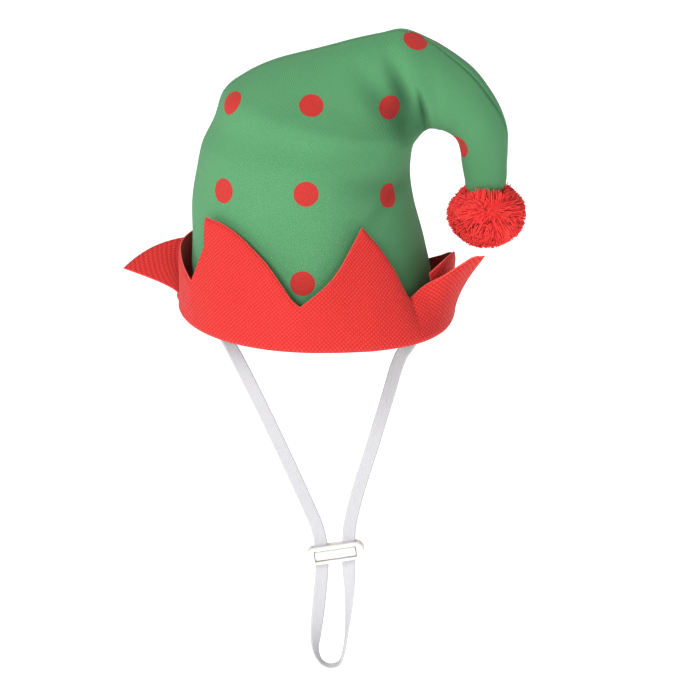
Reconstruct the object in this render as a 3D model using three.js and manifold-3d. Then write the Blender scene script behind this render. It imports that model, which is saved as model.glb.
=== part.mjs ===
// An elf hat for a small pet: a curled cloth crown, a toothed cuff in two overlapping halves,
// a pompom, and a flat elastic chin loop with a slide toggle.
// Millimetres. X runs to the right of the front view, Y to the back and Z up. The origin is
// the middle of the opening, level with the lowest edge of the cuff.
import * as THREE from "three";
import { mergeVertices } from "three/addons/utils/BufferGeometryUtils.js";
import Module from "manifold-3d";

const wasm = await Module();
wasm.setup();

// Crown
const RIM_RADIUS = 53.6; // outside of the crown's hem
const CROWN_TALL = 133.3; // top of the bend above the origin
const CURL_REACH = 33.2; // how far the curled peak reaches past the hem
const CROWN_WALL = 1.6;

// Cuff
const CUFF_STANDS_OFF = 7.8; // from the crown's hem out to the cuff's fold
const CUFF_RADIUS = RIM_RADIUS + CUFF_STANDS_OFF;
const CUFF_WALL = 1.2;
const TOOTH_TALL = 54; // tip of a tooth above the fold's lowest edge
const CUFF_FOLD = 2.2; // outer radius of the fold at the bottom

// Pompom
const POMPOM_WIDE = 36.4;
const POMPOM_TALL = 30.4;
const LOCK_LONG = 3.4; // out of the ball
const LOCK_THICK = 7.4;
const LOCK_COUNT = 64;
const LOCK_TIP = 0.44; // its tip as a share of its foot
const PEAK_END_UP = 0.3; // above the ball's middle, as a share of its height
const POCKET_FROM = 0.818; // the pocket follows the crown from this share of its way

// Chin strap, as it hangs
const STRAP_WIDE = 6;
const STRAP_THICK = 1;
const LOOP_DROP = 55.2; // lowest turn below the middle of the toggle
const LEGS_APART = 12.2; // middle to middle, inside the toggle
const TAB_MIDDLE = 0.027; // of the sewn ends, as shares of the crown's way from the hem
const TAB_END = 0.05;

// Toggle
const TOGGLE_LONG = 26.8;
const TOGGLE_TALL = 8.4;
const TOGGLE_DEEP = 6;
const TOGGLE_DROP = 118.5; // middle of the toggle below the origin
const TOGGLE_SHIFT = 8.8; // to the right of the origin
const TOGGLE_TILT = 8.7; // degrees, right end up
const TOGGLE_SOFT = 1; // rounding of its edges
const BAR_LONG = 18.8;
const BAR_TALL = 4.6;
const BAR_DEEP = 2.7;
const BAR_BELOW_TOP = 2; // from the toggle's upper edge down to the bar

// Clearances
const GAP = 0.3; // between pieces that touch
const STRAP_GAP = 0.5; // round the elastic, which is a little uneven

const HEM_LEVEL = 2 * (CUFF_WALL + GAP); // the hem sits on two layers of cuff

// Sections of the crown from the hem up to the shoulder, seen from the front: the left or
// outer edge and the right or inner edge. Across is a share of RIM_RADIUS, up is a share of
// the height from the hem to CROWN_TALL, and depth is the half depth as a share of the half
// width.
const BODY_SECTIONS = table(
  ["outerAcross", "outerUp", "innerAcross", "innerUp", "depth"],
  [
    [-1.0, 0.0, 1.0, 0.0, 1.0],
    [-1.04, 0.08, 0.985, 0.08, 1.0],
    [-1.045, 0.225, 0.912, 0.225, 0.97],
    [-1.045, 0.375, 0.823, 0.375, 0.93],
    [-1.007, 0.485, 0.793, 0.485, 0.9],
    [-0.961, 0.577, 0.817, 0.581, 0.86],
    [-0.858, 0.67, 0.866, 0.611, 0.8],
    [-0.782, 0.772, 0.9, 0.627, 0.74],
    [-0.64, 0.822, 0.93, 0.637, 0.68],
    [-0.382, 0.877, 0.966, 0.641, 0.62],
    [0.22, 0.95, 1.0, 0.641, 0.62],
  ],
);

// Sections of the curled peak, down to its end inside the pompom. Across is a share of
// CURL_REACH past the hem, and the other columns are those of the body.
const PEAK_SECTIONS = table(
  ["outerAcross", "outerUp", "innerAcross", "innerUp", "depth"],
  [
    [-0.738, 0.983, 0.025, 0.64, 0.64],
    [-0.437, 1.0, 0.057, 0.637, 0.66],
    [-0.054, 0.962, 0.11, 0.635, 0.7],
    [0.178, 0.926, 0.166, 0.629, 0.75],
    [0.55, 0.85, 0.247, 0.615, 0.8],
    [0.766, 0.778, 0.316, 0.592, 0.84],
    [0.919, 0.708, 0.358, 0.552, 0.85],
    [1.0, 0.633, 0.37, 0.522, 0.86],
    [1.0, 0.559, 0.386, 0.492, 0.88],
    [0.988, 0.503, 0.413, 0.455, 0.9],
    [0.973, 0.441, 0.44, 0.418, 0.95],
    [0.88, 0.395, 0.56, 0.385, 1.0],
  ],
);

// Creases and soft dents pressed into the crown, seen from the front. Across is a share of
// RIM_RADIUS and up of the height from the hem; width and depth are millimetres; side is -1
// on the front and 1 on the back.
const CREASES = table(
  ["across", "up", "toAcross", "toUp", "width", "depth", "side"],
  [
    [0.95, 0.65, 0.87, 0.78, 2.6, 3.0, -1],
    [0.83, 0.59, 0.63, 0.89, 4.0, 2.6, -1],
    [0.78, 0.47, 0.3, 0.5, 6.0, 1.6, -1],
    [0.95, 0.65, 0.8, 0.82, 3.2, 3.0, 1],
    [0.83, 0.57, 0.45, 0.72, 5.0, 2.2, 1],
  ],
);

// Stations along one half of the cuff. Foot and top are the angles of its fold and of its
// toothed edge, in degrees from the front towards the right. Tall is the edge's height as a
// share of TOOTH_TALL, reach and spread are the edge's and the fold's radius as shares of
// CUFF_RADIUS, and bend says how late the wall leans over. Layer is -1 where the half lies
// inside the other one and 1 where it lies outside.
const CUFF_COLUMNS = ["foot", "top", "tall", "reach", "spread", "bend", "layer"];

// The front half from its tucked end to the tip of its first tooth and down to the valley.
const FRONT_START = table(CUFF_COLUMNS, [
  [-115, -115, 0.54, 0.975, 1.0, 1.4, -1],
  [-105, -105, 0.537, 0.99, 1.0, 1.4, -1],
  [-95, -95, 0.535, 0.998, 1.0, 1.4, -1],
  [-86, -86, 0.522, 1.0, 1.0, 1.4, 0],
  [-78, -78, 0.478, 1.004, 1.0, 1.4, 0],
  [-71.5, -71.5, 0.445, 1.008, 1.0, 1.4, 0],
  [-65, -65, 0.405, 1.012, 1.0, 1.4, 0],
  [-62.4, -61.7, 0.55, 0.997, 1.0, 1.4, 0],
  [-59.8, -58.9, 0.711, 0.974, 1.0, 1.4, 0],
  [-57, -58.7, 0.86, 0.951, 1.0, 1.4, 0],
  [-54, -59.8, 0.99, 0.935, 1.0, 1.4, 0],
  [-46, -48.1, 0.977, 0.915, 1.0, 1.4, 0],
  [-38, -38.6, 0.912, 0.9, 1.0, 1.4, 0],
  [-30.5, -30.5, 0.822, 0.905, 1.0, 1.4, 0],
  [-23, -22.8, 0.717, 0.925, 1.0, 1.4, 0],
  [-15.8, -15.7, 0.574, 0.955, 1.0, 1.4, 0],
  [-10.8, -10.4, 0.452, 0.985, 1.0, 1.4, 0],
]);

// The back half over the same way, turned half round.
const BACK_START = table(CUFF_COLUMNS, [
  [-117, -117, 0.472, 0.936, 1.0, 1.4, -1],
  [-111, -111, 0.535, 0.985, 1.0, 1.4, -1],
  [-104, -104, 0.557, 1.01, 1.0, 1.4, -1],
  [-95, -95, 0.53, 1.017, 1.0, 1.4, -1],
  [-86, -86, 0.45, 1.016, 1.0, 1.4, 0],
  [-77, -77, 0.4, 1.01, 1.0, 1.4, 0],
  [-66, -66, 0.3, 1.0, 1.0, 1.4, 0],
  [-57, -57, 0.22, 0.985, 1.0, 1.4, 0],
  [-50, -50.5, 0.27, 0.97, 1.0, 1.4, 0],
  [-47, -48.5, 0.55, 0.955, 1.0, 1.4, 0],
  [-44, -46.5, 0.8, 0.945, 1.0, 1.4, 0],
  [-41, -44, 1.01, 0.95, 1.0, 1.4, 0],
  [-34, -37, 0.93, 0.9, 1.0, 1.4, 0],
  [-26, -28, 0.8, 0.91, 1.0, 1.4, 0],
  [-16, -17, 0.6, 0.955, 1.0, 1.4, 0],
]);

// Both halves from the middle valley over the second tooth to the next valley.
const MIDDLE = table(CUFF_COLUMNS, [
  [-6.6, -6.6, 0.396, 1.0, 1.0, 1.4, 0],
  [4, 3.7, 0.563, 0.977, 1.005, 1.4, 0],
  [10.5, 10.2, 0.691, 0.936, 1.015, 1.4, 0],
  [17.3, 17.1, 0.859, 0.88, 1.03, 1.4, 0],
  [24, 23.9, 1.006, 0.83, 1.054, 1.4, 0],
  [31.5, 31.3, 0.837, 0.88, 1.072, 1.4, 0],
  [37.5, 37.2, 0.646, 0.928, 1.088, 1.4, 0],
  [41.5, 41.3, 0.461, 0.961, 1.094, 1.4, 0],
  [45, 44.4, 0.346, 0.977, 1.098, 1.3, 0],
]);

// The free end of the front half leans out, and that of the back half lies folded down.
const FRONT_END = table(CUFF_COLUMNS, [
  [52, 50.9, 0.448, 1.026, 1.096, 1.2, 0.5],
  [61, 56, 0.537, 1.137, 1.08, 1.15, 1],
  [70, 60.5, 0.628, 1.235, 1.052, 1.2, 1],
  [77.5, 62.5, 0.689, 1.308, 1.031, 1.3, 1],
  [84, 64, 0.698, 1.384, 1.018, 1.4, 1],
]);
const BACK_END = table(CUFF_COLUMNS, [
  [54, 50.6, 0.352, 1.117, 1.09, 1.2, 0.6],
  [64, 56, 0.34, 1.238, 1.07, 1.5, 1],
  [72, 60.5, 0.285, 1.368, 1.045, 1.8, 1],
  [78.5, 64.5, 0.208, 1.466, 1.03, 2.1, 1],
  [84, 68.3, 0.122, 1.542, 1.018, 2.3, 1],
]);

// Way of the strap down its left leg, from the hem to the toggle: drop is a share of
// TOGGLE_DROP, in is how far the leg has come from the hem towards its slot, and turn is
// the twist of the flat in degrees, 0 when it faces the front.
const LEFT_LEG = table(
  ["drop", "in", "turn"],
  [
    [0.03, 0.03, 86],
    [0.09, 0.125, 62],
    [0.155, 0.22, 36],
    [0.23, 0.305, 14],
    [0.38, 0.463, 0],
    [0.57, 0.653, 0],
    [0.765, 0.84, 0],
    [0.9, 0.96, 0],
  ],
);
const RIGHT_LEG = table(
  ["drop", "in", "turn"],
  [
    [0.03, 0.02, 86],
    [0.09, 0.1, 62],
    [0.155, 0.24, 36],
    [0.2, 0.345, 14],
    [0.38, 0.525, 0],
    [0.57, 0.705, 0],
    [0.765, 0.895, 0],
    [0.9, 0.99, 0],
  ],
);

// Way of the strap round the small loop, from the toggle's left slot to its right one: across
// is a share of LEGS_APART from the toggle's middle, and drop a share of LOOP_DROP.
const SMALL_LOOP = table(
  ["across", "drop", "turn"],
  [
    [-0.5, 0.13, 0],
    [-0.57, 0.34, 4],
    [-0.66, 0.54, 14],
    [-0.74, 0.74, 38],
    [-0.72, 0.87, 68],
    [-0.52, 0.965, 88],
    [-0.2, 1.0, 90],
    [0.14, 0.975, 90],
    [0.3, 0.88, 90],
    [0.4, 0.74, 84],
    [0.48, 0.54, 64],
    [0.52, 0.34, 44],
    [0.5, 0.13, 10],
  ],
);

// Mesh steps
const CROWN_RINGS = 44;
const CROWN_SIDES = 28;
const CUFF_WALL_ROWS = 4;
const STRAP_STEPS = 74;
const FOLD_STOPS = [0, 45, 90]; // degrees round the cuff's fold
const BALL_DETAIL = 3;
const LOCK_SIDES = 5;
const ROUND_STEPS = 6; // round ends of the toggle and front of its bar
const SOFT_STEPS = 2; // its rounded edges
const MERGE_WITHIN = 1e-4; // points closer than this are one

// Rows of numbers as objects, one named value for each column.
function table(names, rows) {
  return rows.map((row) =>
    Object.fromEntries(names.map((name, i) => [name, row[i]])),
  );
}

function radians(degrees) {
  return THREE.MathUtils.degToRad(degrees);
}

// Geometry of a closed solid from its points and the corner numbers of its triangles.
function solidGeometry(points, corners) {
  const geometry = new THREE.BufferGeometry();
  const flat = points.flatMap((p) => [p.x, p.y, p.z]);
  geometry.setAttribute("position", new THREE.Float32BufferAttribute(flat, 3));
  geometry.setIndex(corners);
  geometry.computeVertexNormals();
  return geometry;
}

// Solid skinned over closed rings, all with as many points, between two end points.
function loftBetween(start, rings, end) {
  const sides = rings[0].length;
  const points = [start, ...rings.flat(), end];
  const corners = [];
  const at = (ring, side) => 1 + ring * sides + (side % sides);
  for (let side = 0; side < sides; side++) {
    corners.push(0, at(0, side + 1), at(0, side));
    corners.push(points.length - 1);
    corners.push(at(rings.length - 1, side), at(rings.length - 1, side + 1));
  }
  for (let ring = 0; ring + 1 < rings.length; ring++) {
    for (let side = 0; side < sides; side++) {
      const [a, b] = [at(ring, side), at(ring, side + 1)];
      const [c, d] = [at(ring + 1, side), at(ring + 1, side + 1)];
      corners.push(a, b, c, b, d, c);
    }
  }
  return solidGeometry(points, corners);
}

// Solid between two faces, each a grid of points with as many rows and columns.
function sheetBetween(face, back) {
  const rows = face.length;
  const columns = face[0].length;
  const points = [...face.flat(), ...back.flat()];
  const front = (row, column) => row * columns + column;
  const behind = (row, column) => rows * columns + front(row, column);
  const corners = [];
  const quad = (a, b, c, d) => corners.push(a, b, c, a, c, d);
  for (let row = 0; row + 1 < rows; row++) {
    for (let column = 0; column + 1 < columns; column++) {
      const [r, c] = [row + 1, column + 1];
      quad(front(row, column), front(row, c), front(r, c), front(r, column));
      quad(behind(row, column), behind(r, column), behind(r, c), behind(row, c));
    }
  }
  for (let row = 0; row + 1 < rows; row++) {
    const [r, last] = [row + 1, columns - 1];
    quad(front(row, 0), front(r, 0), behind(r, 0), behind(row, 0));
    quad(front(r, last), front(row, last), behind(row, last), behind(r, last));
  }
  for (let column = 0; column + 1 < columns; column++) {
    const [c, last] = [column + 1, rows - 1];
    quad(front(0, c), front(0, column), behind(0, column), behind(0, c));
    quad(front(last, column), front(last, c), behind(last, c), behind(last, column));
  }
  return solidGeometry(points, corners);
}

// A geometry as a solid that can be joined and cut.
function toSolid(geometry) {
  const bare = geometry.clone();
  bare.deleteAttribute("normal");
  bare.deleteAttribute("uv");
  const merged = mergeVertices(bare, MERGE_WITHIN);
  return new wasm.Manifold(
    new wasm.Mesh({
      numProp: 3,
      vertProperties: new Float32Array(merged.attributes.position.array),
      triVerts: new Uint32Array(merged.index.array),
    }),
  );
}

function fromSolid(solid) {
  const mesh = solid.getMesh();
  const geometry = new THREE.BufferGeometry();
  geometry.setAttribute(
    "position",
    new THREE.BufferAttribute(mesh.vertProperties, 3),
  );
  geometry.setIndex(new THREE.BufferAttribute(mesh.triVerts, 1));
  geometry.computeVertexNormals();
  return geometry;
}

function cloth(color, roughness) {
  return new THREE.MeshStandardMaterial({ color, roughness, metalness: 0 });
}

function upFromHem(share) {
  return HEM_LEVEL + share * (CROWN_TALL - HEM_LEVEL);
}

// The two edges and the depth of the crown as smooth curves through its sections.
function crownCurves() {
  const body = (across) => across * RIM_RADIUS;
  const peak = (across) => RIM_RADIUS + across * CURL_REACH;
  const rows = [
    ...BODY_SECTIONS.map((row) => [row, body]),
    ...PEAK_SECTIONS.map((row) => [row, peak]),
  ];
  const smooth = (point) =>
    new THREE.CatmullRomCurve3(rows.map(point), false, "centripetal");
  return {
    outer: smooth(
      ([row, place]) =>
        new THREE.Vector3(place(row.outerAcross), 0, upFromHem(row.outerUp)),
    ),
    inner: smooth(
      ([row, place]) =>
        new THREE.Vector3(place(row.innerAcross), 0, upFromHem(row.innerUp)),
    ),
    depth: smooth(([row], i) => new THREE.Vector3(i, 0, row.depth)),
  };
}

const crownEdges = crownCurves();

// How far the creases press the crown in at a point of its front view.
function creaseDepth(point, side) {
  let depth = 0;
  for (const crease of CREASES) {
    if (crease.side * side <= 0) continue;
    const start = new THREE.Vector3(
      crease.across * RIM_RADIUS,
      0,
      upFromHem(crease.up),
    );
    const end = new THREE.Vector3(
      crease.toAcross * RIM_RADIUS,
      0,
      upFromHem(crease.toUp),
    );
    const seen = new THREE.Vector3(point.x, 0, point.z);
    const near = new THREE.Line3(start, end).closestPointToPoint(
      seen,
      true,
      new THREE.Vector3(),
    );
    const away = near.distanceTo(seen) / crease.width;
    depth += crease.depth * Math.exp(-away * away);
  }
  return depth;
}

// One ring of the crown at a share of its way from hem to tip, drawn in from the outside by
// an inset.
function crownRing(share, inset) {
  const outer = crownEdges.outer.getPoint(share);
  const inner = crownEdges.inner.getPoint(share);
  const middle = outer.clone().add(inner).multiplyScalar(0.5);
  const half = outer.clone().sub(middle);
  const depth = half.length() * crownEdges.depth.getPoint(share).z - inset;
  half.setLength(half.length() - inset);
  const ring = [];
  for (let side = 0; side < CROWN_SIDES; side++) {
    const angle = (2 * Math.PI * side) / CROWN_SIDES;
    const point = middle.clone().addScaledVector(half, Math.cos(angle));
    const toBack = Math.sin(angle);
    const pressed = creaseDepth(point, toBack) * Math.abs(toBack);
    point.y = toBack * depth - Math.sign(toBack) * pressed;
    ring.push(point);
  }
  return ring;
}

function centreOf(ring) {
  const sum = new THREE.Vector3();
  ring.forEach((point) => sum.add(point));
  return sum.divideScalar(ring.length);
}

function crownRings(from, to, inset) {
  const rings = [];
  for (let i = 0; i <= CROWN_RINGS; i++) {
    const share = i / CROWN_RINGS;
    if (share >= from && share <= to) rings.push(crownRing(share, inset));
  }
  return rings;
}

function crownGeometry() {
  const outside = crownRings(0, 1, 0);
  const inside = crownRings(0, 1 - 1 / CROWN_RINGS, CROWN_WALL);
  const rings = [...outside.slice().reverse(), ...inside];
  const tip = centreOf(outside[outside.length - 1]);
  return loftBetween(tip, rings, centreOf(inside[inside.length - 1]));
}

// Ball of the pompom with its locks, hollowed where the peak ends in it.
function pompomGeometry() {
  const end = centreOf(crownRing(1, 0));
  const drop = PEAK_END_UP * POMPOM_TALL;
  const middle = end.clone().add(new THREE.Vector3(0, 0, -drop));
  const half = new THREE.Vector3(POMPOM_WIDE, POMPOM_WIDE, POMPOM_TALL);
  half.multiplyScalar(0.5);
  const ball = new THREE.IcosahedronGeometry(1, BALL_DETAIL);
  ball.scale(half.x - LOCK_LONG, half.y - LOCK_LONG, half.z - LOCK_LONG);
  let solid = toSolid(ball);
  const up = new THREE.Vector3(0, 1, 0);
  for (let i = 0; i < LOCK_COUNT; i++) {
    const height = 1 - (2 * i + 1) / LOCK_COUNT;
    const around = i * Math.PI * (3 - Math.sqrt(5));
    const flat = Math.sqrt(1 - height * height);
    const way = new THREE.Vector3(
      flat * Math.cos(around),
      flat * Math.sin(around),
      height,
    );
    const lock = new THREE.CylinderGeometry(
      (LOCK_THICK * LOCK_TIP) / 2,
      LOCK_THICK / 2,
      LOCK_LONG * 2,
      LOCK_SIDES,
    );
    lock.applyQuaternion(new THREE.Quaternion().setFromUnitVectors(up, way));
    const foot = way.clone().multiply(half);
    foot.addScaledVector(way, -LOCK_LONG);
    lock.translate(foot.x, foot.y, foot.z);
    solid = solid.add(toSolid(lock));
  }
  const rings = crownRings(POCKET_FROM, 1, -GAP).reverse();
  const bottom = centreOf(rings[0]).add(new THREE.Vector3(0, 0, -GAP));
  const pocket = loftBetween(bottom, rings, centreOf(rings[rings.length - 1]));
  pocket.translate(-middle.x, -middle.y, -middle.z);
  solid = solid.subtract(toSolid(pocket));
  const geometry = fromSolid(solid);
  geometry.translate(middle.x, middle.y, middle.z);
  return geometry;
}

function onCircle(angle, radius, up) {
  const turned = radians(angle);
  return new THREE.Vector3(
    radius * Math.sin(turned),
    -radius * Math.cos(turned),
    up,
  );
}

// Outer face of the cuff at one station, from the lip's inner edge under the hem, round the
// fold and up to the toothed edge.
function cuffColumn(station) {
  const layer = CUFF_WALL + GAP;
  const lip = layer * (1 - Math.max(station.layer, 0));
  const level = layer * Math.max(-station.layer, 0);
  const fold = station.spread * CUFF_RADIUS - level;
  const points = [onCircle(station.foot, RIM_RADIUS - CROWN_WALL, lip)];
  for (const turned of FOLD_STOPS) {
    const out = fold - CUFF_FOLD * (1 - Math.sin(radians(turned)));
    const up = level + CUFF_FOLD * (1 - Math.cos(radians(turned)));
    points.push(onCircle(station.foot, out, up));
  }
  const start = level + CUFF_FOLD;
  for (let row = 1; row <= CUFF_WALL_ROWS; row++) {
    const share = row / CUFF_WALL_ROWS;
    const lean = Math.pow(share, station.bend);
    points.push(
      onCircle(
        THREE.MathUtils.lerp(station.foot, station.top, share),
        THREE.MathUtils.lerp(fold, station.reach * CUFF_RADIUS, lean),
        THREE.MathUtils.lerp(start, station.tall * TOOTH_TALL, share),
      ),
    );
  }
  return points;
}

// Points of a grid moved in from its face by a wall.
function movedIn(face, wall) {
  const at = (row, column) =>
    face[Math.min(Math.max(row, 0), face.length - 1)][
      Math.min(Math.max(column, 0), face[0].length - 1)
    ];
  return face.map((line, row) =>
    line.map((point, column) => {
      const along = at(row + 1, column).clone().sub(at(row - 1, column));
      const across = at(row, column + 1).clone().sub(at(row, column - 1));
      const inward = along.cross(across).normalize();
      return point.clone().addScaledVector(inward, wall);
    }),
  );
}

function cuffGeometry(stations) {
  const face = stations.map(cuffColumn);
  return sheetBetween(face, movedIn(face, CUFF_WALL));
}

// Middle line of the strap with its twist, as points from one sewn end to the other.
function strapRoute() {
  const inset = CROWN_WALL + STRAP_GAP + STRAP_THICK / 2;
  const tab = (edge, side, share) => {
    const wall = edge.getPoint(share);
    return { x: wall.x + side * inset, z: wall.z, turn: 90 };
  };
  const leg = (from, to, rows) =>
    rows.map((row) => ({
      x: THREE.MathUtils.lerp(from, to, row.in),
      z: -row.drop * TOGGLE_DROP,
      turn: row.turn,
    }));
  const left = TOGGLE_SHIFT - LEGS_APART / 2;
  const right = TOGGLE_SHIFT + LEGS_APART / 2;
  const start = -RIM_RADIUS + inset;
  return [
    tab(crownEdges.outer, 1, TAB_END),
    tab(crownEdges.outer, 1, TAB_MIDDLE),
    { x: start, z: HEM_LEVEL, turn: 90 },
    ...leg(start, left, LEFT_LEG),
    { x: left, z: -TOGGLE_DROP, turn: 0 },
    ...SMALL_LOOP.map((row) => ({
      x: TOGGLE_SHIFT + row.across * LEGS_APART,
      z: -TOGGLE_DROP - row.drop * LOOP_DROP,
      turn: row.turn,
    })),
    { x: right, z: -TOGGLE_DROP, turn: 0 },
    ...leg(-start, right, RIGHT_LEG).reverse(),
    { x: -start, z: HEM_LEVEL, turn: 90 },
    tab(crownEdges.inner, -1, TAB_MIDDLE),
    tab(crownEdges.inner, -1, TAB_END),
  ];
}

function strapGeometry() {
  const route = strapRoute();
  const line = new THREE.CatmullRomCurve3(
    route.map((stop) => new THREE.Vector3(stop.x, 0, stop.z)),
    false,
    "centripetal",
  );
  const twist = new THREE.CatmullRomCurve3(
    route.map((stop, i) => new THREE.Vector3(i, 0, stop.turn)),
  );
  const back = new THREE.Vector3(0, 1, 0);
  const face = [];
  const behind = [];
  for (let step = 0; step <= STRAP_STEPS; step++) {
    const share = step / STRAP_STEPS;
    const middle = line.getPoint(share);
    const along = line.getTangent(share);
    const turn = radians(twist.getPoint(share).z);
    const flat = new THREE.Vector3().crossVectors(along, back);
    const across = flat.clone().multiplyScalar(Math.cos(turn));
    across.addScaledVector(back, Math.sin(turn));
    const out = new THREE.Vector3().crossVectors(across, along);
    const corner = (side, layer) =>
      middle
        .clone()
        .addScaledVector(across, (side * STRAP_WIDE) / 2)
        .addScaledVector(out, (layer * STRAP_THICK) / 2);
    face.push([corner(-1, 1), corner(1, 1)]);
    behind.push([corner(-1, -1), corner(1, -1)]);
  }
  return sheetBetween(face, behind);
}

function box(wide, deep, tall, x, y, z) {
  return new THREE.BoxGeometry(wide, deep, tall).translate(x, y, z);
}

// A flat plate with round ends, standing in the XZ plane and middled on the origin.
function roundEnded(long, tall, deep, soft) {
  const radius = tall / 2 - soft;
  const reach = long / 2 - tall / 2;
  const shape = new THREE.Shape();
  shape.absarc(reach, 0, radius, -Math.PI / 2, Math.PI / 2);
  shape.absarc(-reach, 0, radius, Math.PI / 2, (3 * Math.PI) / 2);
  shape.closePath();
  const geometry = new THREE.ExtrudeGeometry(shape, {
    depth: deep - 2 * soft,
    bevelEnabled: true,
    bevelThickness: soft,
    bevelSize: soft,
    bevelSegments: SOFT_STEPS,
    curveSegments: ROUND_STEPS,
  });
  geometry.translate(0, 0, soft - deep / 2);
  geometry.rotateX(Math.PI / 2);
  return geometry;
}

// The bar's upper edge and its back, which grips the elastic.
const BAR_TOP = TOGGLE_TALL / 2 - BAR_BELOW_TOP;
const BAR_BACK = -STRAP_THICK / 2 - GAP;

function toggleGeometry() {
  const body = roundEnded(TOGGLE_LONG, TOGGLE_TALL, TOGGLE_DEEP, TOGGLE_SOFT);
  const drift = TOGGLE_TALL * Math.tan(radians(TOGGLE_TILT));
  const slotLong = LEGS_APART + STRAP_WIDE + 2 * STRAP_GAP + drift;
  const slotDeep = STRAP_THICK + 2 * STRAP_GAP;
  const slot = box(slotLong, slotDeep, TOGGLE_TALL * 2, 0, 0, 0);
  const seat = box(
    BAR_LONG + 2 * GAP,
    TOGGLE_DEEP,
    BAR_TALL + 2 * GAP,
    0,
    -TOGGLE_DEEP / 2,
    BAR_TOP - BAR_TALL / 2,
  );
  return fromSolid(
    toSolid(body).subtract(toSolid(slot)).subtract(toSolid(seat)),
  );
}

// The bar is round in front and flat behind.
function barGeometry() {
  const shape = new THREE.Shape();
  const [low, high] = [BAR_TOP - BAR_TALL, BAR_TOP];
  const front = BAR_BACK - BAR_DEEP;
  shape.moveTo(BAR_BACK, low);
  shape.lineTo(BAR_BACK, high);
  shape.bezierCurveTo(front, high, front, high, front, (low + high) / 2);
  shape.bezierCurveTo(front, low, front, low, BAR_BACK, low);
  const geometry = new THREE.ExtrudeGeometry(shape, {
    depth: BAR_LONG,
    bevelEnabled: false,
    curveSegments: ROUND_STEPS,
  });
  geometry.rotateX(Math.PI / 2);
  geometry.rotateZ(Math.PI / 2);
  geometry.translate(-BAR_LONG / 2, 0, 0);
  return geometry;
}

function piece(name, geometry, material) {
  const mesh = new THREE.Mesh(geometry, material);
  mesh.name = name;
  return mesh;
}

const green = cloth(0x5fa872, 0.8);
const red = cloth(0xe23c34, 0.85);
const white = new THREE.MeshStandardMaterial({
  color: 0xf4f4f0,
  roughness: 0.35,
  metalness: 0,
});

const hat = new THREE.Group();
hat.add(piece("crown", crownGeometry(), green));
const frontHalf = [...FRONT_START, ...MIDDLE, ...FRONT_END];
const backHalf = [...BACK_START, ...MIDDLE, ...BACK_END];
hat.add(piece("cuff_front", cuffGeometry(frontHalf), red));
const cuffBack = piece("cuff_back", cuffGeometry(backHalf), red.clone());
cuffBack.rotation.z = Math.PI;
hat.add(cuffBack);
hat.add(piece("pompom", pompomGeometry(), cloth(0xe03038, 1)));
hat.add(piece("chin_strap", strapGeometry(), cloth(0xe9e9ec, 0.6)));

const slide = new THREE.Group();
slide.add(piece("toggle", toggleGeometry(), white));
slide.add(piece("toggle_bar", barGeometry(), white.clone()));
slide.position.set(TOGGLE_SHIFT, 0, -TOGGLE_DROP);
slide.rotation.y = -radians(TOGGLE_TILT);
hat.add(slide);

export default hat;
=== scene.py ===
"""An elf hat: a curled cloth crown with printed dots, a toothed cuff in two halves, a yarn
pompom and an elastic chin loop with a slide toggle. Tables are in millimetres, the scene is
in metres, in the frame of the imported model."""

import math
import random

import bpy
from mathutils import Matrix, Vector, noise

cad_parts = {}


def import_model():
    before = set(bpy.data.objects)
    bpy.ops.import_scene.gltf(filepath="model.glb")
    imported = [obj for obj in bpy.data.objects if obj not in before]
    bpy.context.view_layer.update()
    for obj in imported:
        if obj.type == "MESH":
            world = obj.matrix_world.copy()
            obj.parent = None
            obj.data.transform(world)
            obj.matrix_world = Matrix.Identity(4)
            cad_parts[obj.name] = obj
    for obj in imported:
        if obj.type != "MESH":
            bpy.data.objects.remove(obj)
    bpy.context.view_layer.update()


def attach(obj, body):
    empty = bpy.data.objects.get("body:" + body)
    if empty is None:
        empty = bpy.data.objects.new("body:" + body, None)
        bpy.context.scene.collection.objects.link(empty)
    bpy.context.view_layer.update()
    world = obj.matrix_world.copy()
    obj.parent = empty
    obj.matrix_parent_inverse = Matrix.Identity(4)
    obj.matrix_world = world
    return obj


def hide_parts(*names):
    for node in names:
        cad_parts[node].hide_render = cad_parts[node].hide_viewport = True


MM = 0.001
TAU = 2 * math.pi
GOLDEN_PART = 3 - math.sqrt(5)
TINY = 1e-4
BODY = "root"

# Crown
RIM_RADIUS = 53.6
CROWN_TALL = 133.3
CURL_REACH = 33.2
CROWN_WALL = 1.6
HEM_LEVEL = 3.0

# Cuff
CUFF_STANDS_OFF = 7.8
CUFF_RADIUS = RIM_RADIUS + CUFF_STANDS_OFF
CUFF_WALL = 1.2
CUFF_LAYER = 1.5
TOOTH_TALL = 54
CUFF_FOLD = 2.2

# Pompom
POMPOM_WIDE = 36.4
POMPOM_TALL = 30.4
PEAK_END_UP = 0.3

# Chin strap and toggle
STRAP_WIDE = 6
STRAP_THICK = 1
LOOP_DROP = 55.2
LEGS_APART = 12.2
TOGGLE_LONG = 26.8
TOGGLE_TALL = 8.4
TOGGLE_DEEP = 6
TOGGLE_DROP = 118.5
TOGGLE_SHIFT = 8.8
TOGGLE_TILT = 8.7
BAR_LONG = 18.8
BAR_TALL = 4.6
BAR_DEEP = 2.7
BAR_BELOW_TOP = 2
GAP = 0.3
STRAP_GAP = 0.5
TAB_MIDDLE = 0.027
TAB_END = 0.05

# The photograph's camera
CAMERA_ELEVATION = 19.4
CAMERA_AWAY = 12.0
VIEW_WIDE = 318.2 * MM
AIM_RIGHT = 15.45 * MM
AIM_DOWN = 19.55 * MM
SENSOR_WIDE = 36
CLIP = (0.1, 60)

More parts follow.
